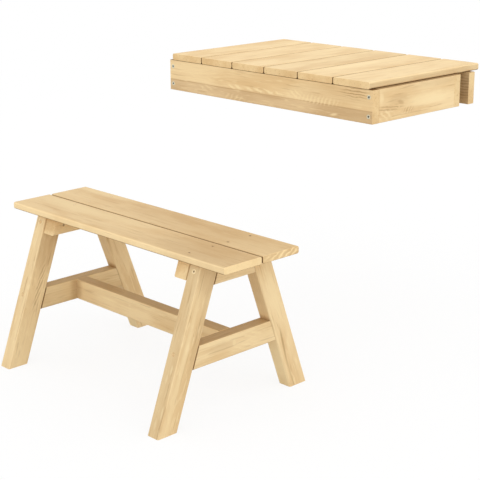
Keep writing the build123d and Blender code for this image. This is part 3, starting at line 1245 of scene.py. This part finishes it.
@dataclass
class ScrewSet:
    """A group of countersunk screws with cross recesses, of which those on some sides may be faint.

    The recess's reach, half width and ring are shares of the head's radius. The rim's profile goes inward and
    up, in rims.
    """

    node: str
    body: Body
    zinc: ZincFinish
    faint_sides: tuple[Facing, ...] = ()
    faint_zinc: Optional[ZincFinish] = None
    recess_reach: float = 0.5
    recess_half: float = 0.19
    recess_depth: float = 1.8 * MM
    recess_taper: float = 0.62
    recess_ring: float = 0.625
    recess_finish: int = 1
    tip: float = 4.0 * MM
    rim: float = 0.25 * MM
    rim_profile: tuple[Pair, ...] = ((1.0, -2.0), (0.0, -0.8), (0.6, 0.0))
    facets: int = 32
    golden_turn: float = math.radians(137.5)
    sorting_digits: int = 4

    def build(self) -> str:
        """Makes the group.

        Returns:
            Its name.
        """
        shape = bmesh.new()
        plain = self.zinc.materials()
        faint = self.faint_zinc.materials() if self.faint_zinc else []
        places = [ScrewPlace.of(points) for points in islands(self.node)]
        places.sort(key=lambda place: tuple(round(c, self.sorting_digits) for c in place.head))
        middle = sum((place.head for place in places), Vector()) / len(places)
        for number, place in enumerate(places):
            faces = self.add_screw(shape, place, number * self.golden_turn)
            if any((place.head - middle).dot(Vector(side.value)) > 0 for side in self.faint_sides):
                for face in faces:
                    face.material_index += len(plain)
        return add_group(shape, self.node, self.body, Slot.SCREWS, plain + faint)

    def add_screw(self, shape: Shape, place: ScrewPlace, turn: float) -> set[bmesh.types.BMFace]:
        """Adds one screw.

        Args:
            shape: Where it goes.
            place: Where it sits.
            turn: The turn of its recess.

        Returns:
            Its faces.
        """
        before = set(shape.verts)
        shank, head = place.radius / 2, place.radius
        profile = (
            (0.0, -place.length), (shank, self.tip - place.length), (shank, shank - head),
            *((head - inward * self.rim, level * self.rim) for inward, level in self.rim_profile),
            (self.recess_ring * head, 0.0),
        )
        line = [shape.verts.new((r, 0, z)) for r, z in profile]
        edges = [shape.edges.new(pair) for pair in zip(line, line[1:])]
        bmesh.ops.spin(
            shape, geom=line + edges, axis=(0, 0, 1), cent=(0, 0, 0), angle=math.tau, steps=self.facets,
            use_merge=True,
        )
        bmesh.ops.remove_doubles(shape, verts=[v for v in shape.verts if v not in before], dist=SAME_PLACE)
        ring = [e for e in shape.edges if e.is_boundary and e.verts[0] not in before]
        self.sink_recess(shape, ring, head)
        fresh = [v for v in shape.verts if v not in before]
        aim = place.outward.to_track_quat("Z", "Y").to_matrix().to_4x4()
        whole = Matrix.Translation(place.head) @ aim @ Matrix.Rotation(turn, 4, "Z")
        bmesh.ops.transform(shape, matrix=whole, verts=fresh)
        return {face for vertex in fresh for face in vertex.link_faces}

    def sink_recess(self, shape: Shape, ring: list[bmesh.types.BMEdge], head: float) -> None:
        """Closes a head with a cross recess.

        Args:
            shape: Where the screw is.
            ring: The open edge around the middle of its head.
            head: The radius of its head.
        """
        reach, half = self.recess_reach * head, self.recess_half * head
        cross = [
            shape.verts.new(Matrix.Rotation(quarter * math.pi / 2, 3, "Z") @ Vector((u, v, 0)))
            for quarter in range(4) for u, v in ((reach, -half), (reach, half), (half, half))
        ]
        mouth = [shape.edges.new((one, other)) for one, other in zip(cross, cross[1:] + cross[:1])]
        bmesh.ops.triangle_fill(shape, edges=ring + mouth, use_beauty=True)
        made = bmesh.ops.extrude_edge_only(shape, edges=mouth)["geom"]
        deep = [g for g in made if isinstance(g, bmesh.types.BMVert)]
        bmesh.ops.scale(shape, vec=(self.recess_taper, self.recess_taper, 1), verts=deep)
        bmesh.ops.translate(shape, vec=(0, 0, -self.recess_depth), verts=deep)
        floor = [g for g in made if isinstance(g, bmesh.types.BMEdge) and all(v in deep for v in g.verts)]
        bmesh.ops.contextual_create(shape, geom=floor)
        for face in {face for vertex in deep for face in vertex.link_faces}:
            face.material_index = self.recess_finish


@dataclass
class DowelSet:
    """The beech dowels between the stretcher and the lower rails, with flutes for the glue."""

    node: str = "stretcher_dowels"
    body: Body = Body.BENCH
    finish: BeechFinish = BeechFinish()
    flutes: int = 20
    flute_depth: float = 0.3 * MM
    chamfer: float = 1.0 * MM

    def build(self) -> str:
        """Makes the group.

        Returns:
            Its name.
        """
        shape = bmesh.new()
        for points in islands(self.node):
            low, high = (Vector(pick(p[axis] for p in points) for axis in range(3)) for pick in (min, max))
            self.add_dowel(shape, (low + high) / 2, (high.y - low.y) / 2, high.x - low.x)
        return add_group(shape, self.node, self.body, Slot.DOWELS, [self.finish.material("beech")])

    def add_dowel(self, shape: Shape, middle: Vector, radius: float, length: float) -> None:
        """Adds one dowel along X.

        Args:
            shape: Where it goes.
            middle: Its middle.
            radius: Its radius.
            length: Its length.
        """
        before = set(shape.verts)
        sides = 2 * self.flutes
        straight = length - 2 * self.chamfer
        made = bmesh.ops.create_cone(
            shape, cap_ends=True, segments=sides, radius1=radius, radius2=radius, depth=straight
        )["verts"]
        grooves = [v for v in made if round(math.atan2(v.co.y, v.co.x) * sides / math.tau) % 2]
        groove = 1 - self.flute_depth / radius
        bmesh.ops.scale(shape, vec=(groove, groove, 1), verts=grooves)
        caps = [f for f in {f for v in made for f in v.link_faces} if len(f.verts) == sides]
        tip = 1 - self.chamfer / radius
        for face in bmesh.ops.extrude_discrete_faces(shape, faces=caps)["faces"]:
            rise = math.copysign(self.chamfer, face.calc_center_median().z)
            bmesh.ops.translate(shape, vec=(0, 0, rise), verts=face.verts)
            bmesh.ops.scale(shape, vec=(tip, tip, 1), verts=face.verts)
        fresh = [v for v in shape.verts if v not in before]
        whole = Matrix.Translation(middle) @ Matrix.Rotation(math.pi / 2, 4, "Y")
        bmesh.ops.transform(shape, matrix=whole, verts=fresh)


# The last colour fills the recesses: dark painted shade on the bright, yellow and bronze zinc, and on the
# faint zinc pale painted light that offsets the recess's own shadow.
BRIGHT_ZINC = ZincFinish("bright_zinc", linear(228, 224, 202), linear(204, 198, 174), linear(56, 52, 42))
YELLOW_ZINC = ZincFinish("yellow_zinc", linear(252, 230, 186), linear(240, 212, 162), linear(178, 142, 94))
BRONZE_ZINC = ZincFinish("bronze_zinc", linear(208, 176, 130), linear(194, 160, 114), linear(120, 92, 58))
FAINT_ZINC = ZincFinish("faint_zinc", linear(226, 196, 149), linear(218, 186, 139), linear(255, 236, 198))


@dataclass
class Fixings(SubAssembly):
    """The screws and dowels."""

    groups: tuple[Union[ScrewSet, DowelSet], ...] = (
        ScrewSet("frame_screws", Body.TABLE, BRIGHT_ZINC),
        ScrewSet("board_screws", Body.TABLE, BRIGHT_ZINC),
        ScrewSet("cleat_screws", Body.TABLE, BRIGHT_ZINC),
        ScrewSet("hook_rail_screws", Body.TABLE, BRIGHT_ZINC),
        ScrewSet("leg_screws", Body.BENCH, YELLOW_ZINC, (Facing.DOWN, Facing.LEFT), FAINT_ZINC),
        ScrewSet("seat_screws", Body.BENCH, BRONZE_ZINC, (Facing.LEFT,), FAINT_ZINC),
        ScrewSet("batten_screws", Body.BENCH, BRONZE_ZINC),
        DowelSet(),
    )

    def build(self) -> Iterator[str]:
        """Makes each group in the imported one's place."""
        for group in self.groups:
            yield group.build()


@dataclass
class Studio:
    """A pale floor, a pale dome and the camera."""

    floor_radius: float = 30.0
    floor_sides: int = 96
    floor_bounce: float = 0.62
    floor_white: float = 0.85
    fade_start: float = 1.0
    fade_end: float = 4.0
    dome: float = 1.03
    dome_from_right: float = 0.34
    dome_from_front: float = 0.2
    lens: float = 92.93
    camera_place: tuple[float, float, float] = (1.81336, -1.75865, 0.97913)
    azimuth: float = math.radians(45.692)
    elevation: float = math.radians(16.459)
    roll: float = math.radians(-0.146)

    def build(self) -> None:
        """Makes the dome, the floor and the camera."""
        self.make_dome()
        self.make_floor()
        self.make_camera()

    @staticmethod
    def seen(tree: Tree) -> Field:
        """Tells sight from light.

        Args:
            tree: The nodes that ask.

        Returns:
            1 where the camera, a mirror or a window looks, 0 for light on the object.
        """
        path = tree.node("ShaderNodeLightPath")
        names = ("Is Camera Ray", "Is Glossy Ray", "Is Transmission Ray")
        camera, glossy, through = (Field(tree, path.outputs[name]) for name in names)
        return camera.larger(glossy).larger(through)

    def make_dome(self) -> None:
        """Makes a pale dome, a little brighter in front and on the right, that looks white."""
        world = bpy.data.worlds.new("dome")
        world.use_nodes = True
        bpy.context.scene.world = world
        tree = Tree(world.node_tree)
        across, away, _ = tree.separate(tree.coordinates("Generated"))
        level = across * self.dome_from_right - away * self.dome_from_front + self.dome
        share = self.seen(tree)
        strength = share + (1 - share) * level
        sky = tree.node("ShaderNodeBackground", None, {"Color": WHITE, "Strength": strength})
        tree.node("ShaderNodeOutputWorld", None, {"Surface": sky.outputs["Background"]})

    def make_floor(self) -> None:
        """Makes a pale floor that keeps a soft shadow and fades into the white behind."""
        shape = bmesh.new()
        bmesh.ops.create_circle(shape, cap_ends=True, radius=self.floor_radius, segments=self.floor_sides)
        floor = add_mesh("floor", shape, [self.floor_material()])

    def floor_material(self) -> Material:
        """Makes the floor's finish.

        Returns:
            The material: pale for light, nearly white to the eye, and white far away.
        """
        made, tree = new_material("floor")
        x, y, _ = tree.separate(tree.coordinates("Object"))
        away = (x * x + y * y).root().rise(self.fade_start, self.fade_end)
        lit = tree.node("ShaderNodeBsdfDiffuse", None, {"Color": (*[self.floor_bounce] * 3, 1.0)})
        pale = tree.node("ShaderNodeBsdfDiffuse", None, {"Color": WHITE})
        white = tree.node("ShaderNodeEmission", None, {"Color": WHITE, "Strength": 1.0})
        share = away * (1 - self.floor_white) + self.floor_white
        eye = {0: share, 1: pale.outputs["BSDF"], 2: white.outputs["Emission"]}
        shown = tree.node("ShaderNodeMixShader", None, eye)
        whole = {0: self.seen(tree), 1: lit.outputs["BSDF"], 2: shown.outputs["Shader"]}
        both = tree.node("ShaderNodeMixShader", None, whole)
        tree.node("ShaderNodeOutputMaterial", None, {"Surface": both.outputs["Shader"]})
        return made

    def make_camera(self) -> None:
        """Stands the camera where the picture was taken."""
        data = bpy.data.cameras.new("camera")
        data.lens = self.lens
        camera = bpy.data.objects.new("camera", data)
        level = math.cos(self.elevation)
        right, front = math.sin(self.azimuth), -math.cos(self.azimuth)
        back = Vector((right * level, front * level, math.sin(self.elevation)))
        turn = (-back).to_track_quat("-Z", "Y").to_matrix() @ Matrix.Rotation(self.roll, 3, "Z")
        camera.matrix_world = Matrix.Translation(self.camera_place) @ turn.to_4x4()
        bpy.context.scene.collection.objects.link(camera)
        bpy.context.scene.camera = camera


def main() -> None:
    """Builds the set and the studio."""
    logging.basicConfig(level=logging.INFO)
    bpy.context.scene.view_settings.view_transform = "Standard"
    for assembly in (TableTop(), TableFrame(), Seat(), BenchFrame(), Fixings()):
        for piece in assembly.build():
            log.info("%s: %s", type(assembly).__name__, piece)
    Studio().build()


if __name__ == "__main__":
    main()
